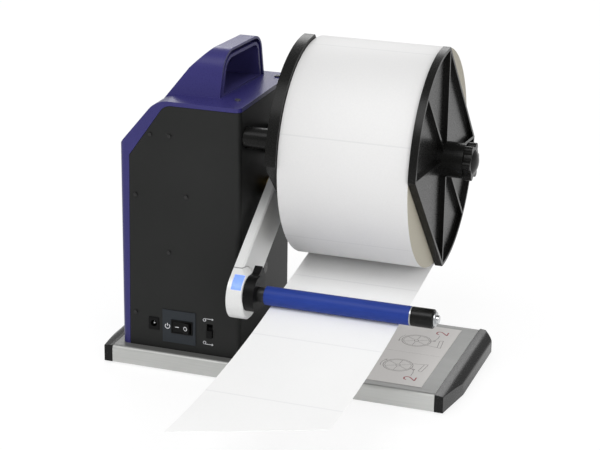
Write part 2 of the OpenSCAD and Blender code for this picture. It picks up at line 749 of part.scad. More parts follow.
module flange_shape(inset) intersection() {
    circle(flange_r - inset);
    rotate(flange_turn) square([2 * (flange_flat - inset), 3 * flange_r], center = true);
}

module flange_ribs() intersection() {
    flange_shape(1);
    for (a = [flange_corner, -flange_corner, 90]) rotate(flange_turn + a)
        square([2 * flange_r, flange_wall], center = true);
}

module inner_flange() color("#1b1b1b") translate([0, spindle_y, spindle_z]) difference() {
    union() {
        along_x(inner_face - flange_wall, inner_face) flange_shape(0);
        along_x(inner_back, inner_face - flange_wall) {
            difference() {
                flange_shape(0);
                flange_shape(flange_wall);
            }
            flange_ribs();
        }
        rod(inner_back - 11, inner_face, 14, [0, 0]);
    }
    rod(inner_back - 12, inner_face + 1, shaft_r + set_fit, [0, 0]);
}

module core_mandrel() color("#2c2c2c") along_x(roll_start, roll_start + mandrel_length)
    translate(spindle_at) difference() {
        union() {
            difference() {
                circle(mandrel_r);
                circle(mandrel_r - 3);
            }
            circle(shaft_r + 5);
            for (a = [0, 60, 120]) rotate(a) square([2 * mandrel_r - 3, 3], center = true);
        }
        circle(shaft_r + set_fit);
    }

module roll_core() color("#b89c74") difference() {
    rod(roll_start, roll_end, core_r, spindle_at);
    rod(roll_start - 1, roll_end + 1, core_bore, spindle_at);
}

module label_roll() color("#f2f1ec") difference() {
    rod(roll_start, roll_end, roll_r, spindle_at);
    rod(roll_start - 1, roll_end + 1, core_r + run_fit, spindle_at);
}

// Loose flange with its clamp knob
module outer_flange() color("#1b1b1b") translate([0, spindle_y, spindle_z]) difference() {
    union() {
        along_x(outer_face, outer_face + flange_wall) flange_shape(0);
        along_x(outer_face + flange_wall, outer_face + outer_depth) {
            difference() {
                flange_shape(0);
                flange_shape(flange_wall);
            }
            flange_ribs();
        }
        rod(outer_face, hub_end, hub_r, [0, 0]);
        difference() {
            rod(outer_face - 14, outer_face + 1, mandrel_r, [0, 0]);
            rod(outer_face - 15, outer_face, mandrel_r - 3, [0, 0]);
        }
    }
    rod(outer_face - 16, hub_end + 1, shaft_r + run_fit, [0, 0]);
}

module clamp_knob() color("#141414") along_x(knob_start, knob_end) translate(spindle_at) difference() {
    union() {
        circle(knob_r - 4);
        for (a = [0:60:300]) rotate(a) translate([knob_r - 4.5, 0]) circle(4.5);
    }
    circle(shaft_r + run_fit);
}

module knob_cap() color("#101010") translate([knob_end, spindle_y, spindle_z]) rotate([0, 90, 0])
    intersection() {
        cylinder(h = 4, r = 11.7);
        translate([0, 0, -16]) sphere(20);
    }

// Swing arm with its end cover, light and roller holder
module arm_shape(r) {
    translate(arm_end) circle(r);
    translate([pivot_y, pivot_z]) circle(r);
    translate(arm_end) rotate(arm_slope) translate([0, -r]) square([arm_length, 2 * r]);
}

module arm_solid() hull() {
    along_x(arm_back, arm_face - arm_round) arm_shape(arm_half, $fn = 96);
    along_x(arm_face - 0.1, arm_face) arm_shape(arm_half - arm_round, $fn = 96);
}

module within_seam(r) intersection() {
    arm_shape(r, $fn = 96);
    translate(arm_end) circle(arm_seam, $fn = 96);
}

module end_solid() hull() {
    along_x(arm_back, arm_mid) translate(arm_end) circle(arm_half, $fn = 96);
    along_x(arm_front - 0.1, arm_front) translate(arm_end) circle(arm_half - arm_round, $fn = 96);
    along_x(arm_back, arm_face - arm_round) within_seam(arm_half);
    along_x(arm_face - 0.1, arm_face) within_seam(arm_half - arm_round);
}

module lens_room(gap) {
    along_x(arm_back + 4 - gap, arm_mid - 1 + gap) translate(arm_end) polygon(concat(
        arc([0, 0], arm_half + 2, 110 - gap * 2, 150 + gap * 2, 6),
        arc([0, 0], arm_half - 5 - gap, 150 + gap * 2, 110 - gap * 2, 6)));
}

module tension_arm() color("#b4b6b8") difference() {
    arm_solid();
    rod(arm_back - 1, arm_front + 1, arm_seam, arm_end);
    rod(arm_back - 1, arm_face - 2, pivot_r + set_fit, [pivot_y, pivot_z]);
}

module arm_end_cover() color("#bcbec0") difference() {
    intersection() {
        end_solid();
        rod(arm_back - 1, arm_front + 1, arm_seam - set_fit, arm_end);
    }
    lens_room(0.1);
    rod(arm_back + 2, arm_front + 1, axle_r + set_fit, roller_at);
}

module indicator_lens() color("#a8d8ff") intersection() {
    end_solid();
    lens_room(0);
}

module holder_shape() {
    neck = 9;
    out = holder_r + neck;
    s = sqrt(out * out - 4 * neck * neck);
    translate(roller_at) rotate(arm_slope) {
        circle(holder_r);
        translate([0, -neck]) square([holder_neck, 2 * neck]);
        for (t = [0, 1]) mirror([0, t]) difference() {
            polygon([[0, 0], [s * holder_r / out, 2 * neck * holder_r / out], [s, 2 * neck], [s, 0]]);
            translate([s, 2 * neck]) circle(neck);
        }
    }
}

module roller_holder() color("#161616") difference() {
    union() {
        rod(arm_front, holder_end, holder_r, roller_at);
        along_x(arm_front, holder_end - 3) holder_shape();
    }
    rod(arm_front - 1, holder_end + 1, axle_r + set_fit, roller_at);
}

module roller_axle() color("#c4c6c8") rod(arm_back + 2, axle_end, axle_r, roller_at);

module axle_collar() color("#8a8c90") difference() {
    rod(holder_end, roller_start - 0.3, axle_r + 3, roller_at);
    rod(holder_end - 1, roller_start, axle_r + set_fit, roller_at);
}

module arm_pivot_shaft() color("#c0c2c4") {
    rod(wall_in - 33, arm_face - 2, pivot_r, [pivot_y, pivot_z]);
    rod(plate_x + plate_wall + 7, wall_in - 32, pivot_r - 2, [pivot_y, pivot_z]);
}

module axle_clip() color("#c8cacc") difference() {
    rod(roller_cap_end + 0.5, roller_cap_end + 1.7, axle_r + 3, roller_at);
    rod(roller_cap_end, roller_cap_end + 2, axle_r + set_fit, roller_at);
}

// Web roller
module roller_tube() color("#b0b2b4") difference() {
    union() {
        rod(roller_start, roller_end, tube_r, roller_at);
        rod(roller_end - tube_lip, roller_end, roller_r, roller_at);
    }
    rod(roller_start - 1, roller_end + 1, axle_r + run_fit, roller_at);
}

module roller_sleeve() color("#2b42a0") difference() {
    rod(roller_start, roller_end - tube_lip, roller_r, roller_at);
    rod(roller_start - 1, roller_end + 1, tube_r + set_fit, roller_at);
}

module roller_end_cap() color("#141414") difference() {
    rod(roller_end, roller_cap_end, roller_r, roller_at);
    rod(roller_end - 1, roller_cap_end + 1, axle_r + run_fit, roller_at);
}

base_extrusion();
end_cap_left();
end_cap_right();
anti_slip_pad();
guide_label();
side_housing();
top_cover();
grip_liner();
switch_plate();
power_switch_body();
dc_jack();
direction_switch_body();
panel_screws();
cover_screws();
bearing_block();
front_bearing();
rear_bearing();
drive_frame();
gearhead();
motor_can();
drive_belt();
control_board();
board_standoffs();
board_parts();
arm_pivot_bush();
arm_sensor();
arm_stop_upper();
arm_stop_lower();
label_web();
spindle_shaft();
spindle_pulley();
spindle_collar();
inner_flange();
core_mandrel();
roll_core();
label_roll();
outer_flange();
clamp_knob();
knob_cap();
tension_arm();
arm_end_cover();
indicator_lens();
roller_holder();
roller_axle();
axle_collar();
arm_pivot_shaft();
axle_clip();
roller_tube();
roller_sleeve();
roller_end_cap();
power_rocker();
direction_slider();
motor_pulley();
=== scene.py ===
import json
import math
import bpy
import bmesh
from mathutils import Matrix, Vector

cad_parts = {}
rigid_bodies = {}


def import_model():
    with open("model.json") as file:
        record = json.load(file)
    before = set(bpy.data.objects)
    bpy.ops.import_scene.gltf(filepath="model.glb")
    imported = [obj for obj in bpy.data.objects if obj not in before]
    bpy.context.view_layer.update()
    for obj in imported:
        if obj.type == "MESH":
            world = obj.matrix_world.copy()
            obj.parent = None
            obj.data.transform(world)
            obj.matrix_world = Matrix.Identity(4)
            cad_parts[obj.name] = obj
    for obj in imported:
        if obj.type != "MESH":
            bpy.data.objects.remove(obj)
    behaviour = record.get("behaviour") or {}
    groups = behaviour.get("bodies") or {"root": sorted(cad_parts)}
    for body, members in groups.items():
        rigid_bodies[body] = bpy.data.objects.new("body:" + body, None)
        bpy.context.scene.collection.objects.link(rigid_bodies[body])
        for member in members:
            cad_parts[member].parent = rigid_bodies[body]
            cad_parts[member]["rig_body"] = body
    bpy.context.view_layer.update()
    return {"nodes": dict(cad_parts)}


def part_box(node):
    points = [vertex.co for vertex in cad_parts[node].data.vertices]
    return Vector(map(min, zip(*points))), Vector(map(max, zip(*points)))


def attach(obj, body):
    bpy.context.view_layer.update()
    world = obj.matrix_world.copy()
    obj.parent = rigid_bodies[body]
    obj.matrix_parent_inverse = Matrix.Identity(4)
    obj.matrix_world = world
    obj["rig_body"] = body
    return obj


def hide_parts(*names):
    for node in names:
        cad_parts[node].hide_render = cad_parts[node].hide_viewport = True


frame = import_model()
nodes = frame["nodes"]
scene = bpy.context.scene
scene.view_settings.view_transform = "Standard"

# Studio camera: a long lens from the front right, a little above the roll.
# Its place comes from the base's and the roll's edges in the photograph.
eye = Vector((0.56332, -1.63346, 0.74157))
turn, rise, roll = math.radians(19.71), math.radians(19.09), math.radians(0.59)
back = Vector((math.sin(turn) * math.cos(rise), -math.cos(turn) * math.cos(rise), math.sin(rise)))
level = Vector((math.cos(turn), math.sin(turn), 0))
upward = back.cross(level)
across = math.cos(roll) * level + math.sin(roll) * upward
above = math.cos(roll) * upward - math.sin(roll) * level
lens = bpy.data.cameras.new("studio_camera")
lens.sensor_width = 36
lens.lens = 111.8
lens.shift_x = 0.0347
lens.shift_y = -0.009
lens.clip_end = 100
camera = bpy.data.objects.new("studio_camera", lens)
scene.collection.objects.link(camera)
camera.matrix_world = Matrix((
    (across.x, above.x, back.x, eye.x),
    (across.y, above.y, back.y, eye.y),
    (across.z, above.z, back.z, eye.z),
    (0, 0, 0, 1),
))
scene.camera = camera

# Studio light: a large soft box high in front, a fill on the right and one behind.
# The room is plain pale paper.
for name, place, aim, width, height, power in (
    ("key_box", (-0.10, -1.15, 2.00), (0, 0, 0.12), 1.3, 1.1, 21),
    ("right_fill", (1.3, -1.4, 0.9), (0.0, -0.05, 0.15), 1.0, 1.0, 12),
    ("back_fill", (-0.5, 1.8, 1.25), (0, 0, 0.2), 1.4, 0.8, 12),
):
    lamp = bpy.data.lights.new(name, "AREA")
    lamp.shape = "RECTANGLE"
    lamp.size = width
    lamp.size_y = height
    lamp.energy = power
    holder = bpy.data.objects.new(name, lamp)
    scene.collection.objects.link(holder)
    holder.location = place
    holder.rotation_euler = (Vector(aim) - Vector(place)).to_track_quat("-Z", "Y").to_euler()

room = bpy.data.worlds.new("white_room")
scene.world = room
room.use_nodes = True
sky = room.node_tree.nodes["Background"]
sky.inputs["Color"].default_value = (1, 1, 1, 1)
sky.inputs["Strength"].default_value = 0.5

# Floor: a plain sheet of white paper under the machine.
# It keeps the soft shadow of the base and the web.
floor_reach = 40
floor_white = (0.93, 0.93, 0.93, 1)
floor_glow = 1.05
floor_glow_share = 0.78


def put(tree, socket, value):
    if isinstance(value, bpy.types.NodeSocket):
        tree.links.new(value, socket)
    else:
        socket.default_value = value


def figured(tree, operation, *values):
    node = tree.nodes.new("ShaderNodeMath")
    node.operation = operation
    for i, value in enumerate(values):
        put(tree, node.inputs[i], value)
    return node.outputs["Value"]


def ranged(tree, value, **limits):
    node = tree.nodes.new("ShaderNodeMapRange")
    put(tree, node.inputs["Value"], value)
    for limit, number in limits.items():
        node.inputs[limit.replace("_", " ").title()].default_value = number
    return node.outputs["Result"]


def looked_at(tree, low, high):
    ray = tree.nodes.new("ShaderNodeLightPath").outputs
    seen = figured(tree, "MAXIMUM", ray["Is Camera Ray"], ray["Is Glossy Ray"])
    return ranged(tree, figured(tree, "MAXIMUM", seen, ray["Is Transmission Ray"]), to_min=low, to_max=high)


def meshed(name, bm):
    mesh = bpy.data.meshes.new(name)
    bm.to_mesh(mesh)
    bm.free()
    return mesh


bm = bmesh.new()
bmesh.ops.create_grid(bm, x_segments=1, y_segments=1, size=floor_reach)
floor_mesh = meshed("paper_floor", bm)
floor = bpy.data.objects.new("paper_floor", floor_mesh)
scene.collection.objects.link(floor)
floor_paper = bpy.data.materials.new("floor_paper")
floor_paper.use_nodes = True
tree = floor_paper.node_tree
matt = tree.nodes["Principled BSDF"]
matt.inputs["Base Color"].default_value = floor_white
matt.inputs["Roughness"].default_value = 0.9
matt.inputs["Specular IOR Level"].default_value = 0.1
bright = tree.nodes.new("ShaderNodeEmission")
bright.inputs["Strength"].default_value = floor_glow
both = tree.nodes.new("ShaderNodeMixShader")
put(tree, both.inputs["Fac"], looked_at(tree, 0.0, floor_glow_share))
put(tree, both.inputs[1], matt.outputs["BSDF"])
put(tree, both.inputs[2], bright.outputs["Emission"])
put(tree, tree.nodes["Material Output"].inputs["Surface"], both.outputs["Shader"])
floor_mesh.materials.append(floor_paper)

# Base: an anodised aluminium extrusion with a fine drawn grain along its length, and painted shade darkening
# its top.
# Its hollow chambers take the plugs of the end caps, and a rubber pad lies under it.
base_edge = 0.0006
painted_top_shade = 0.36
top_from, top_to = 0.75, 0.98


def grained(name, light, dark, scale, rough, bump, metal=0.0, stretch=(1, 1, 1), depth=0.0002, gleam=0.5):
    fine_detail, broad_scale, broad_detail = 4, 9, 2
    dark_at, light_at = 0.35, 0.65
    smoother, rougher = 0.05, 0.07
    m = bpy.data.materials.new(name)
    m.use_nodes = True
    tree = m.node_tree
    shader = tree.nodes["Principled BSDF"]
    shader.inputs["Metallic"].default_value = metal
    shader.inputs["Specular IOR Level"].default_value = gleam
    where = tree.nodes.new("ShaderNodeTexCoord").outputs["Object"]
    place = tree.nodes.new("ShaderNodeMapping")
    place.inputs["Scale"].default_value = stretch
    put(tree, place.inputs["Vector"], where)
    noises = []
    for spot, size, detail in (
        (place.outputs["Vector"], scale, fine_detail),
        (where, broad_scale, broad_detail),
    ):
        noise = tree.nodes.new("ShaderNodeTexNoise")
        noise.inputs["Scale"].default_value = size
        noise.inputs["Detail"].default_value = detail
        put(tree, noise.inputs["Vector"], spot)
        noises.append(noise.outputs["Fac"])
    fine, broad = noises
    tone = tree.nodes.new("ShaderNodeValToRGB")
    tone.name = "tone"
    for i, (at, colour) in enumerate(((dark_at, dark), (light_at, light))):
        tone.color_ramp.elements[i].position = at
        tone.color_ramp.elements[i].color = (*colour, 1)
    halves = figured(tree, "MULTIPLY_ADD", broad, 0.5, figured(tree, "MULTIPLY", fine, 0.5))
    put(tree, tone.inputs["Fac"], halves)
    put(tree, shader.inputs["Base Color"], tone.outputs["Color"])
    sheen = ranged(tree, fine, from_min=0.3, from_max=0.7, to_min=rough - smoother, to_max=rough + rougher)
    put(tree, shader.inputs["Roughness"], sheen)
    relief = tree.nodes.new("ShaderNodeBump")
    relief.inputs["Strength"].default_value = bump
    relief.inputs["Distance"].default_value = depth
    put(tree, relief.inputs["Height"], fine)
    put(tree, shader.inputs["Normal"], relief.outputs["Normal"])
    return m


def mixed(tree, share, under, over, blend="MIX"):
    node = tree.nodes.new("ShaderNodeMix")
    node.data_type = "RGBA"
    node.blend_type = blend
    for socket, value in (("Factor", share), ("A", under), ("B", over)):
        put(tree, node.inputs[socket], value)
    return node.outputs["Result"]


def split(tree, vector):
    node = tree.nodes.new("ShaderNodeSeparateXYZ")
    put(tree, node.inputs["Vector"], vector)
    return node.outputs


def facing(tree, axis):
    return split(tree, tree.nodes.new("ShaderNodeNewGeometry").outputs["Normal"])[axis]


def own_tone(tree):
    return tree.nodes["tone"].outputs["Color"]


def coloured(tree, colour):
    put(tree, tree.nodes["Principled BSDF"].inputs["Base Color"], colour)


def painted(material, *names):
    for n in names:
        mesh = nodes[n].data
        mesh.materials.clear()
        mesh.materials.append(material)


def fitted(name, mesh, material, body, slot, *stands_for):
    mesh.materials.append(material)
    piece = bpy.data.objects.new(name, mesh)
    scene.collection.objects.link(piece)
    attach(piece, body)
    if stands_for:
        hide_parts(*stands_for)
    return piece


def even_shading(mesh):
    reach = 0.77
    planes_per_metre = 5000
    planes = {}
    keys = []
    for f in mesh.polygons:
        key = (*(round(c, 2) for c in f.normal), round(f.normal.dot(f.center) * planes_per_metre))
        keys.append(key)
        planes[key] = planes.get(key, 0) + f.area
    around = [[] for v in mesh.vertices]
    for f in mesh.polygons:
        for v in f.vertices:
            around[v].append(f.index)
    normals = []
    for f in mesh.polygons:
        for v in f.vertices:
            total = Vector()
            for g in around[v]:
                other = mesh.polygons[g].normal
                if other.dot(f.normal) > reach:
                    total += other * planes[keys[g]]
            normals.append(total.normalized() if total.length > 0 else f.normal)
    mesh.normals_split_custom_set(normals)


def smoothed(bm):
    for f in bm.faces:
        f.smooth = True


def eased(node, width, material, slot, segments=3, least=35):
    weld = 0.000004
    flat_limit = 0.4
    bm = bmesh.new()
    bm.from_mesh(nodes[node].data)
    bmesh.ops.remove_doubles(bm, verts=bm.verts, dist=weld)
    bmesh.ops.dissolve_limit(bm, angle_limit=math.radians(flat_limit), verts=bm.verts, edges=bm.edges)
    sharp = [e for e in bm.edges if e.is_manifold and e.calc_face_angle(0) > math.radians(least)]
    bmesh.ops.bevel(bm, geom=sharp, offset=width, offset_type="OFFSET", segments=segments, profile=0.5,
                    affect="EDGES", material=-1, clamp_overlap=True)
    bmesh.ops.triangulate(bm, faces=[f for f in bm.faces if len(f.verts) > 4])
    smoothed(bm)
    mesh = meshed("eased_" + node, bm)
    even_shading(mesh)
    return fitted("eased_" + node, mesh, material, nodes[node]["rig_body"], slot, node)


drawn_aluminium = grained("drawn_aluminium", (0.56, 0.565, 0.55), (0.48, 0.485, 0.47), 900, 0.42, 0.12,
                          metal=0.4, stretch=(0.02, 1, 1))
tree = drawn_aluminium.node_tree
# Painted shade: faces looking upward are multiplied darker, standing in for the dark reflection the top
# catches.
top_shade_mask = ranged(tree, facing(tree, "Z"), from_min=top_from, from_max=top_to)
coloured(tree, mixed(tree, top_shade_mask, own_tone(tree), (painted_top_shade, painted_top_shade, painted_top_shade, 1), "MULTIPLY"))
eased("base_extrusion", base_edge, drawn_aluminium, "base_aluminium", segments=2)
pad_rubber = grained("pad_rubber", (0.035, 0.035, 0.036), (0.022, 0.022, 0.023), 1500, 0.8, 0.4)
painted(pad_rubber, "anti_slip_pad")

# End caps: glossy black injection-moulded caps pushed into the ends of the extrusion.
# Their top rolls down to a low outer edge.
cap_edge = 0.0026
cap_gloss = grained("cap_gloss", (0.007, 0.007, 0.007), (0.004, 0.004, 0.004), 700, 0.22, 0.01, gleam=0.2)
for cap in ("end_cap_left", "end_cap_right"):
    eased(cap, cap_edge, cap_gloss, "cap_black", segments=4, least=24)

# Guide label: a grey printed film on the base with two winding diagrams.
# Thin ink lines show the roll, the web and the way it turns, each with a red number.
label_low, label_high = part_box("guide_label")
ink_lift = 0.00004
ink_z = label_high.z + ink_lift
full_turn = 2 * math.pi
diagram_x = (label_low.x + label_high.x) / 2 + 0.003
diagram_y = 0.0325
ring_sizes = ((0.0145, 0.0006), (0.0128, 0.0004), (0.0022, 0.0006))
spoke_from, spoke_to, spoke_width = 0.0032, 0.0124, 0.0004
spoke_degrees = (25, 85, 145, 205, 265, 325)
arrow_r, arrow_width, arrow_middle, arrow_half = 0.0172, 0.00045, 3.0, 0.5
barb_length, barb_width, barb_lean = 0.0028, 0.0004, 0.45
outline_width = 0.00048
feed_line = ((0.0126, -0.0080), (0.0240, -0.0099), (0.0275, -0.0107), (0.0255, 0.0085), (0.0221, 0.0072),
             (0.0240, -0.0099))
swing_line = ((0.0125, 0.0030), (0.0170, 0.0052), (0.0186, 0.0120), (0.0186, 0.0205))
swing_joint_r, swing_joint_width = 0.0012, 0.0005
number_x, number_y, number_width = 0.0195, 0.0268, 0.0014
number_two_mm = ((-3.6, 2.6), (-3.0, 4.6), (-1.2, 5.6), (1.2, 5.6), (3.0, 4.4), (3.5, 2.4), (2.6, 0.4),
                 (-3.8, -5.5), (4.2, -5.5))
divider_inset, divider_y, divider_width = 0.002, 0.001, 0.0002


def towards(angle):
    return Vector((math.cos(angle), math.sin(angle)))


def ink_bar(bm, p, q, width, z):
    p, q = Vector((*p, z)), Vector((*q, z))
    along = (q - p).normalized()
    side = Vector((-along.y, along.x, 0)) * width / 2
    bm.faces.new([bm.verts.new(corner) for corner in (p - side, q - side, q + side, p + side)])


def ink_line(bm, points, width, z):
    for i in range(len(points) - 1):
        ink_bar(bm, points[i], points[i + 1], width, z)


def ink_arc(bm, centre, radius, width, z, steps, start=0.0, stop=full_turn):
    spot = Vector((*centre, z))
    outward = Vector((*towards(start), 0))
    ends = [bm.verts.new(spot + outward * (radius + half)) for half in (-width / 2, width / 2)]
    edge = bm.edges.new(ends)
    bmesh.ops.spin(bm, geom=[edge, *edge.verts], cent=spot, axis=(0, 0, 1), angle=stop - start,
                   steps=steps, use_merge=stop - start >= full_turn)


def ink_mesh(name, bm):
    bmesh.ops.recalc_face_normals(bm, faces=bm.faces)
    for f in bm.faces:
        if f.normal.z < 0:
            f.normal_flip()
    return meshed(name, bm)


label_film = grained("label_film", (0.58, 0.56, 0.545), (0.54, 0.52, 0.505), 500, 0.45, 0.05, gleam=0.3)
painted(label_film, "guide_label")
label_ink = grained("label_ink", (0.11, 0.09, 0.085), (0.075, 0.06, 0.055), 900, 0.5, 0.05)
number_ink = grained("number_ink", (0.30, 0.03, 0.04), (0.24, 0.022, 0.03), 900, 0.5, 0.05)
lines = bmesh.new()
numbers = bmesh.new()
for way in (-1, 1):
    hub = Vector((diagram_x, way * diagram_y))
    for radius, width in ring_sizes:
        ink_arc(lines, hub, radius, width, ink_z, 36)
    for degrees in spoke_degrees:
        spoke = towards(math.radians(degrees))
        ink_bar(lines, hub + spoke_from * spoke, hub + spoke_to * spoke, spoke_width, ink_z)
    arrow_ends = (arrow_middle - arrow_half, arrow_middle + arrow_half)
    ink_arc(lines, hub, arrow_r, arrow_width, ink_z, 10, *arrow_ends)
    arrow_end = arrow_middle + arrow_half * way
    arrow_tip = hub + arrow_r * towards(arrow_end)
    for lean in (-barb_lean, barb_lean):
        barb = arrow_tip + barb_length * towards(arrow_end - way * math.pi / 2 + lean)
        ink_bar(lines, arrow_tip, barb, barb_width, ink_z)
    for outline in (feed_line, swing_line):
        ink_line(lines, [hub + Vector((x, way * y)) for x, y in outline], outline_width, ink_z)
    joint_x, joint_y = swing_line[1]
    swing_joint = hub + Vector((joint_x, way * joint_y))
    ink_arc(lines, swing_joint, swing_joint_r, swing_joint_width, ink_z, 16)
    spot = hub + Vector((number_x, way * number_y))
    ink_line(numbers, [spot + Vector((-v, u)) / 1000 for u, v in number_two_mm], number_width, ink_z)
ink_bar(lines, (label_low.x + divider_inset, divider_y), (label_high.x - divider_inset, divider_y),
        divider_width, ink_z)
fitted("label_lines", ink_mesh("label_lines", lines), label_ink, "frame", "guide_film")
fitted("label_numbers", ink_mesh("label_numbers", numbers), number_ink, "frame", "guide_film")

# Tower housing: black powder-coated sheet folded round the front, the right side and the back.
# The coat has a fine even texture.
housing_edge = 0.0005
powder_black = grained("powder_black", (0.015, 0.0155, 0.015), (0.009, 0.0095, 0.009), 1600, 0.5, 0.3,
                       depth=0.0001, gleam=0.25)
eased("side_housing", housing_edge, powder_black, "housing_black", segments=2)

# Cover: violet moulded plastic over the left side, the sloped shoulder and the top.
# Its grip hood opens to the right, with a liner of the same plastic inside, coloured lighter as painted
# light.
cover_edge = 0.0018
cover_violet = grained("cover_violet", (0.036, 0.032, 0.155), (0.028, 0.025, 0.125), 1300, 0.3, 0.04,
                       depth=0.0001, gleam=0.25)
eased("top_cover", cover_edge, cover_violet, "cover_violet", segments=4, least=20)
# Painted light: the liner gets a lighter copy of the violet to stand for light reaching into the pocket.
liner_violet = grained("liner_violet", (0.055, 0.050, 0.175), (0.042, 0.038, 0.140), 1300, 0.45, 0.2,
                       depth=0.0001, gleam=0.2)
painted(liner_violet, "grip_liner")

# Front panel: a dark blue-grey plate round the power switch, the rocker, the slide switch and the inlet.
# The inlet has a bright pin in its middle.
plate_edge = 0.0003
control_edges = (("power_switch_body", 0.0004, 2), ("power_rocker", 0.0006, 3), ("dc_jack", 0.0004, 2),
                 ("direction_slider", 0.0004, 2))
pin_r, pin_length, pin_round, pin_inward = 0.00115, 0.006, 0.0006, 0.0048
upright = Matrix.Rotation(math.pi / 2, 4, "X")
plate_grey = grained("plate_grey", (0.023, 0.028, 0.034), (0.017, 0.021, 0.026), 1200, 0.45, 0.1, gleam=0.25)
eased("switch_plate", plate_edge, plate_grey, "plate_blue_grey", segments=2)
switch_black = grained("switch_black", (0.005, 0.005, 0.005), (0.003, 0.003, 0.003), 1100, 0.4, 0.12,
                       gleam=0.12)
for control, edge, segments in control_edges:
    eased(control, edge, switch_black, "switch_black", segments)
painted(switch_black, "direction_switch_body")
inlet_low, inlet_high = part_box("dc_jack")
inlet_middle = (inlet_low + inlet_high) / 2
bm = bmesh.new()
bmesh.ops.create_cone(bm, cap_ends=True, segments=20, radius1=pin_r, radius2=pin_r, depth=pin_length)
tip = [e for e in bm.edges if min(v.co.z for v in e.verts) > 0]
bmesh.ops.bevel(bm, geom=tip, offset=pin_round, segments=3, profile=0.5, affect="EDGES", material=-1)
pin_place = Matrix.Translation((inlet_middle.x, inlet_low.y + pin_inward, inlet_middle.z))
bmesh.ops.transform(bm, verts=bm.verts, matrix=pin_place @ upright)
smoothed(bm)
pin = meshed("inlet_pin", bm)
pin.set_sharp_from_angle(angle=math.radians(40))
pin_steel = grained("pin_steel", (0.62, 0.63, 0.64), (0.52, 0.53, 0.54), 1800, 0.25, 0.08, metal=0.9)
fitted("inlet_pin", pin, pin_steel, "frame", "screw_steel")

# Panel signs: white printed signs, a power ring on the plate and two winding signs by the slide switch.
# The rocker's two ends carry a bar and a ring.
plate_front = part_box("switch_plate")[0].y
panel_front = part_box("side_housing")[0].y
power_x, power_z = -0.1097, 0.0441
power_r, power_width, power_start, power_sweep = 0.0024, 0.0007, 2.2, 5.02
power_bar = ((0, 0.0004), (0, 0.0033))
rocker_axis = Vector((-0.0943, -0.0735, 0.0448))
rocker_turn = math.radians(-8)
rocker_slope = 1.28 / 9.1
rocker_middle = 0.00402
rocker_sign_out, rocker_sign_lift = 0.0052, 0.0002
rocker_bar, rocker_bar_width = ((-0.0006, 0), (0.0030, 0)), 0.0007
rocker_ring_r, rocker_ring_width = 0.0019, 0.0006
winding_x, winding_z = -0.0669, 0.0448
winding_signs = (("outside_sign", 0.0111, 1), ("inside_sign", -0.0127, -1))
winding_r, winding_width = 0.0014, 0.0005
winding_hub_x, winding_tip_x = -0.0040, 0.0052
winding_barb, winding_lean = 0.0019, 0.5
panel_ink = grained("panel_ink", (0.75, 0.76, 0.78), (0.66, 0.67, 0.69), 900, 0.5, 0.05)


def panel_sign(name, bm, place, body="frame", turn=0.0):
    mesh = ink_mesh(name, bm)
    mesh.transform(Matrix.Translation(place) @ Matrix.Rotation(turn, 4, "Z") @ upright)
    return fitted(name, mesh, panel_ink, body, "plate_blue_grey")


bm = bmesh.new()
ink_arc(bm, (0, 0), power_r, power_width, 0, 24, power_start, power_start + power_sweep)
ink_bar(bm, *power_bar, power_width, 0)
panel_sign("power_sign", bm, (power_x, plate_front - ink_lift, power_z))
bar = bmesh.new()
ink_bar(bar, *rocker_bar, rocker_bar_width, 0)
ring = bmesh.new()
ink_arc(ring, (0, 0), rocker_ring_r, rocker_ring_width, 0, 24)
for sign, bm, side in (("rocker_bar", bar, -1), ("rocker_ring", ring, 1)):
    outward = rocker_middle + rocker_sign_out * rocker_slope + rocker_sign_lift
    local = Vector((side * rocker_sign_out, -outward, 0))
    spot = rocker_axis + Matrix.Rotation(rocker_turn, 3, "Z") @ local
    panel_sign(sign, bm, spot, "power_rocker", rocker_turn - side * math.atan(rocker_slope))
for sign, rise_by, way in winding_signs:
    bm = bmesh.new()
    ink_arc(bm, (winding_hub_x, 0), winding_r, winding_width, 0, 20)
    arrow_tip = Vector((winding_tip_x, winding_r * way))
    ink_bar(bm, (winding_hub_x, winding_r * way), arrow_tip, winding_width, 0)
    for lean in (-winding_lean, winding_lean):
        ink_bar(bm, arrow_tip, arrow_tip - winding_barb * towards(lean), winding_width, 0)
    panel_sign(sign, bm, (winding_x, panel_front - ink_lift, winding_z + rise_by))

# Screws: blacked pan heads with a cross recess, six on the front panel and two greyer ones on the cover.
# The recess is drawn as two crossed dark slots, painted shade for its hollow.
panel_spots_mm = ((-126, 238), (-106.3, 238.3), (-142.2, 176), (-89.3, 179.4), (-107.7, 120.7), (-143.8, 54))
panel_slot_reach, panel_slot_width, panel_head = 0.0011, 0.00025, 0.0013
cover_spots_mm = ((-47.5, -48), (-43.5, 50))
cover_slot_reach, cover_slot_width = 0.0018, 0.00035
cover_head_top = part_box("cover_screws")[1].z
slot_depth = 0.0003
blacked_steel = grained("blacked_steel", (0.035, 0.035, 0.035), (0.022, 0.022, 0.022), 1800, 0.35, 0.1,
                        metal=0.6)
painted(blacked_steel, "panel_screws")
cover_steel = grained("cover_steel", (0.16, 0.16, 0.18), (0.11, 0.11, 0.13), 1800, 0.35, 0.1, metal=0.7)
painted(cover_steel, "cover_screws")
# Painted shade: dark crossed slots stand in for the shade inside each cross recess.
recess_shade_dark = grained("recess_shade_dark", (0.03, 0.03, 0.03), (0.015, 0.015, 0.015), 900, 0.6, 0.1)


def crossed_slot(bm, reach, width, place):
    for x, y in ((reach, width), (width, reach)):
        bmesh.ops.create_cube(bm, size=1, matrix=place @ Matrix.Diagonal((2 * x, 2 * y, slot_depth, 1)))


bm = bmesh.new()
for x, z in panel_spots_mm:
    head = Matrix.Translation((x / 1000, panel_front - panel_head, z / 1000)) @ upright
    crossed_slot(bm, panel_slot_reach, panel_slot_width, head)
for x, y in cover_spots_mm:
    head = Matrix.Translation((x / 1000, y / 1000, cover_head_top))
    crossed_slot(bm, cover_slot_reach, cover_slot_width, head)
fitted("screw_slots", meshed("screw_slots", bm), recess_shade_dark, "frame", "screw_steel")

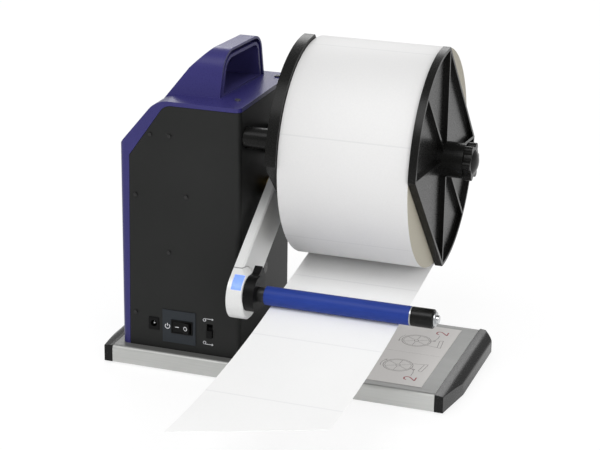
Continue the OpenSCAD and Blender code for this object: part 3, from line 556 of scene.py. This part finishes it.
# Drive inside the tower: plated frame, bearings, motor, belt and the control board.
# With the cover on, only the spindle shaft, the arm's pivot shaft, the roller axle and their collars
# show in part.
drive_plate = grained("drive_plate", (0.45, 0.46, 0.47), (0.36, 0.37, 0.38), 1200, 0.4, 0.1, metal=0.8)
painted(drive_plate, "drive_frame", "gearhead", "spindle_pulley", "motor_pulley")
ground_steel = grained("ground_steel", (0.60, 0.61, 0.62), (0.50, 0.51, 0.52), 1500, 0.24, 0.08, metal=1.0,
                       stretch=(1, 0.05, 0.05))
painted(ground_steel, "front_bearing", "rear_bearing", "spindle_shaft", "spindle_collar")
painted(ground_steel, "arm_pivot_shaft", "roller_axle")
painted(blacked_steel, "axle_collar")
motor_dark = grained("motor_dark", (0.11, 0.12, 0.125), (0.08, 0.085, 0.09), 900, 0.4, 0.1, metal=0.6)
painted(motor_dark, "motor_can")
belt_rubber = grained("belt_rubber", (0.016, 0.016, 0.016), (0.009, 0.009, 0.009), 1400, 0.7, 0.3)
painted(belt_rubber, "drive_belt")
board_green = grained("board_green", (0.020, 0.110, 0.045), (0.012, 0.075, 0.030), 500, 0.35, 0.15)
painted(board_green, "control_board")
painted(switch_black, "board_parts", "arm_sensor")
turned_brass = grained("turned_brass", (0.52, 0.37, 0.13), (0.42, 0.29, 0.09), 1500, 0.32, 0.1, metal=1.0)
painted(turned_brass, "board_standoffs", "arm_pivot_bush")

# Flanges: satin black moulded discs with two flats, a thin rim and straight ribs.
# The inner one is fixed on the shaft and the outer one slides on it behind the clamp knob.
# The bearing block and the arm's two stops have the same finish.
flange_edges = (("inner_flange", 0.0006, 2), ("outer_flange", 0.0006, 2), ("clamp_knob", 0.0012, 3),
                ("bearing_block", 0.0008, 3), ("arm_stop_upper", 0.0009, 3), ("arm_stop_lower", 0.0009, 3))
knob_cap_edge = 0.0005
flange_satin = grained("flange_satin", (0.0080, 0.0080, 0.0075), (0.0045, 0.0045, 0.0042), 1200, 0.26, 0.06,
                       depth=0.0001, gleam=0.16)
for moulded, edge, segments in flange_edges:
    eased(moulded, edge, flange_satin, "flange_black", segments)
eased("knob_cap", knob_cap_edge, cap_gloss, "cap_black")
painted(flange_satin, "core_mandrel")

# Label roll: white label stock wound on a card core, its ends a little creamy with fine layer lines.
# Faint lines across the outside show the gaps between labels.
spindle_spot = Vector((0.005, 0.2213))
roll_start, roll_end = 0.011, 0.136
roll_r, roll_bore = 0.105, 0.04205
roll_edge, roll_steps, roll_weld = 0.0005, 160, 0.000005
end_facing = 0.6
labels_round, labels_phase, roll_gap = 6, 10.35, 0.012
roll_gap_grey = (0.63, 0.63, 0.63, 1)
layer_scale, layer_waver, layer_detail = 160, 1.2, 3
layer_dark, layer_light = (0.36, 0.335, 0.265, 1), (0.44, 0.41, 0.335, 1)
card_brown = grained("card_brown", (0.47, 0.35, 0.21), (0.38, 0.27, 0.15), 500, 0.85, 0.3)
painted(card_brown, "roll_core")


def centred_on(tree, spot, scale=(1, 1, 1)):
    node = tree.nodes.new("ShaderNodeMapping")
    node.inputs["Location"].default_value = (0, -spot.x, -spot.y)
    node.inputs["Scale"].default_value = scale
    put(tree, node.inputs["Vector"], tree.nodes.new("ShaderNodeTexCoord").outputs["Object"])
    return node.outputs["Vector"]


def gap_lines(tree, along, rate, phase, share):
    part = figured(tree, "FRACT", figured(tree, "MULTIPLY_ADD", along, rate, phase))
    return figured(tree, "LESS_THAN", part, share)


wound_paper = grained("wound_paper", (0.70, 0.697, 0.695), (0.67, 0.667, 0.665), 600, 0.55, 0.05)
tree = wound_paper.node_tree
about_spindle = centred_on(tree, spindle_spot)
rings = tree.nodes.new("ShaderNodeTexWave")
rings.wave_type = "RINGS"
rings.rings_direction = "X"
rings.inputs["Scale"].default_value = layer_scale
rings.inputs["Distortion"].default_value = layer_waver
rings.inputs["Detail"].default_value = layer_detail
put(tree, rings.inputs["Vector"], about_spindle)
layers = tree.nodes.new("ShaderNodeValToRGB")
layers.color_ramp.elements[0].color = layer_dark
layers.color_ramp.elements[1].color = layer_light
put(tree, layers.inputs["Fac"], rings.outputs["Fac"])
axes = split(tree, about_spindle)
angle = figured(tree, "ARCTAN2", axes["Z"], axes["Y"])
on_gap = gap_lines(tree, angle, labels_round / full_turn, labels_phase, roll_gap)
outside = mixed(tree, on_gap, own_tone(tree), roll_gap_grey)
is_end = figured(tree, "GREATER_THAN", figured(tree, "ABSOLUTE", facing(tree, "X")), end_facing)
coloured(tree, mixed(tree, is_end, outside, layers.outputs["Color"]))

bm = bmesh.new()
section = ((roll_start, roll_bore), (roll_start, roll_r), (roll_end, roll_r), (roll_end, roll_bore))
corners = [bm.verts.new((x, spindle_spot.x, spindle_spot.y + r)) for x, r in section]
edges = [bm.edges.new((corners[i], corners[(i + 1) % 4])) for i in range(4)]
bmesh.ops.spin(bm, geom=corners + edges, cent=(0, *spindle_spot), axis=(1, 0, 0), angle=full_turn,
               steps=roll_steps, use_merge=True)
bmesh.ops.remove_doubles(bm, verts=bm.verts, dist=roll_weld)
sharp = [e for e in bm.edges if e.is_manifold and e.calc_face_angle(0) > 1]
bmesh.ops.bevel(bm, geom=sharp, offset=roll_edge, segments=2, profile=0.5, affect="EDGES", material=-1)
bmesh.ops.recalc_face_normals(bm, faces=bm.faces)
smoothed(bm)
wound = meshed("wound_labels", bm)
wound.set_sharp_from_angle(angle=math.radians(40))
fitted("wound_labels", wound, wound_paper, "spindle", "paper_white", "label_roll")

# Label web: one flat strip of label stock, in from the printer, under the blue roller and up to the roll.
# It sags a little before the roller, and its front end is cut where the picture ends.
roller_spot = Vector((-0.1116, 0.105718))
roller_r = 0.009
web_start, web_width, web_thickness, web_clear = 0.0113, 0.1244, 0.00028, 0.0003
slope_in = math.radians(9.8)
sag_radius = 1.2
free_length = 0.258
right_short = 0.0545
cut_inset = 0.001
sag_steps, bend_steps = 16, 6
web_pitch, web_phase, web_gap = 0.113, 10.451, 0.016
web_gap_grey = (0.85, 0.85, 0.85, 1)


def below(centre, radius, slope):
    return centre + radius * Vector((math.sin(slope), -math.cos(slope)))


run = spindle_spot - roller_spot
slope_out = math.atan2(run.y, run.x) - math.asin((roll_r - roller_r) / run.length)
under_roller = roller_r + web_clear
sag_centre = below(roller_spot, under_roller - sag_radius, slope_in)
path = []
for i in range(sag_steps):
    slope = slope_in - free_length / sag_radius * (sag_steps - i) / sag_steps
    path.append(below(sag_centre, sag_radius, slope))
for i in range(bend_steps + 1):
    path.append(below(roller_spot, under_roller, slope_in + (slope_out - slope_in) * i / bend_steps))
path.append(below(spindle_spot, roll_r + web_clear, slope_out))
bm = bmesh.new()
line = [bm.verts.new((web_start, p.x, p.y)) for p in path]
edges = [bm.edges.new((line[i], line[i + 1])) for i in range(len(line) - 1)]
wide = bmesh.ops.extrude_edge_only(bm, edges=edges)["geom"]
right_edge = [v for v in wide if isinstance(v, bmesh.types.BMVert)]
bmesh.ops.translate(bm, verts=right_edge, vec=(web_width, 0, 0))
bmesh.ops.bisect_plane(bm, geom=bm.verts[:] + bm.edges[:] + bm.faces[:],
                       plane_co=(web_start, path[0].x + cut_inset, 0),
                       plane_no=(right_short, -web_width, 0), clear_outer=True)
bmesh.ops.recalc_face_normals(bm, faces=bm.faces)
smoothed(bm)
for f in bm.faces:
    if f.normal.z < 0:
        f.normal_flip()
web_area = sum(f.calc_area() for f in bm.faces)
bmesh.ops.solidify(bm, geom=bm.faces[:], thickness=web_thickness)
strip = meshed("web_strip", bm)
strip.set_sharp_from_angle(angle=math.radians(30))
web_paper = grained("web_paper", (0.93, 0.93, 0.925), (0.90, 0.90, 0.895), 600, 0.5, 0.05)
tree = web_paper.node_tree
along = split(tree, tree.nodes.new("ShaderNodeTexCoord").outputs["Object"])["Y"]
on_gap = gap_lines(tree, along, 1 / web_pitch, web_phase, web_gap)
coloured(tree, mixed(tree, on_gap, own_tone(tree), web_gap_grey))
web = fitted("web_strip", strip, web_paper, "frame", "paper_white", "label_web")

# Tension arm: a silver-painted cast arm with a separate end cover, and a painted line of shade at their
# curved seam.
# A lit blue window is let into the front of the end cover. The arm also carries the black roller holder.
arm_end = Vector((-0.1060, 0.1013))
arm_edge = 0.0008
seam_r, seam_width = 0.0265, 0.0006
seam_shade_grey = (0.30, 0.30, 0.30, 1)
holder_edge = 0.0012
arm_silver = grained("arm_silver", (0.78, 0.785, 0.78), (0.71, 0.715, 0.71), 1500, 0.4, 0.12, metal=0.2,
                     depth=0.0001)
tree = arm_silver.node_tree
away = tree.nodes.new("ShaderNodeVectorMath")
away.operation = "LENGTH"
put(tree, away.inputs[0], centred_on(tree, arm_end, scale=(0, 1, 1)))
# Painted shade: a thin grey ring along the seam stands in for the shadow in its gap.
on_seam_shade = figured(tree, "COMPARE", away.outputs["Value"], seam_r, seam_width / 2)
coloured(tree, mixed(tree, on_seam_shade, own_tone(tree), seam_shade_grey))
for cast in ("tension_arm", "arm_end_cover"):
    eased(cast, arm_edge, arm_silver, "arm_silver", segments=2, least=28)
lit_window = grained("lit_window", (0.18, 0.30, 0.85), (0.12, 0.22, 0.78), 300, 0.2, 0.05)
glow = lit_window.node_tree.nodes["Principled BSDF"]
glow.inputs["Emission Color"].default_value = (0.22, 0.36, 1.0, 1)
glow.inputs["Emission Strength"].default_value = 0.5
painted(lit_window, "indicator_lens")
eased("roller_holder", holder_edge, switch_black, "switch_black", least=28)

# Web roller: a blue sleeve on a plated tube, with a black end cap held by a clip on the axle.
# It turns freely when the web runs.
sleeve_edge, end_cap_edge = 0.0005, 0.0010
plated_steel = grained("plated_steel", (0.52, 0.53, 0.54), (0.40, 0.41, 0.42), 1800, 0.32, 0.1, metal=0.9)
painted(plated_steel, "roller_tube", "axle_clip")
sleeve_blue = grained("sleeve_blue", (0.020, 0.047, 0.265), (0.015, 0.036, 0.215), 900, 0.38, 0.12,
                      stretch=(0.1, 1, 1), gleam=0.15)
eased("roller_sleeve", sleeve_edge, sleeve_blue, "roller_blue")
eased("roller_end_cap", end_cap_edge, flange_satin, "flange_black")
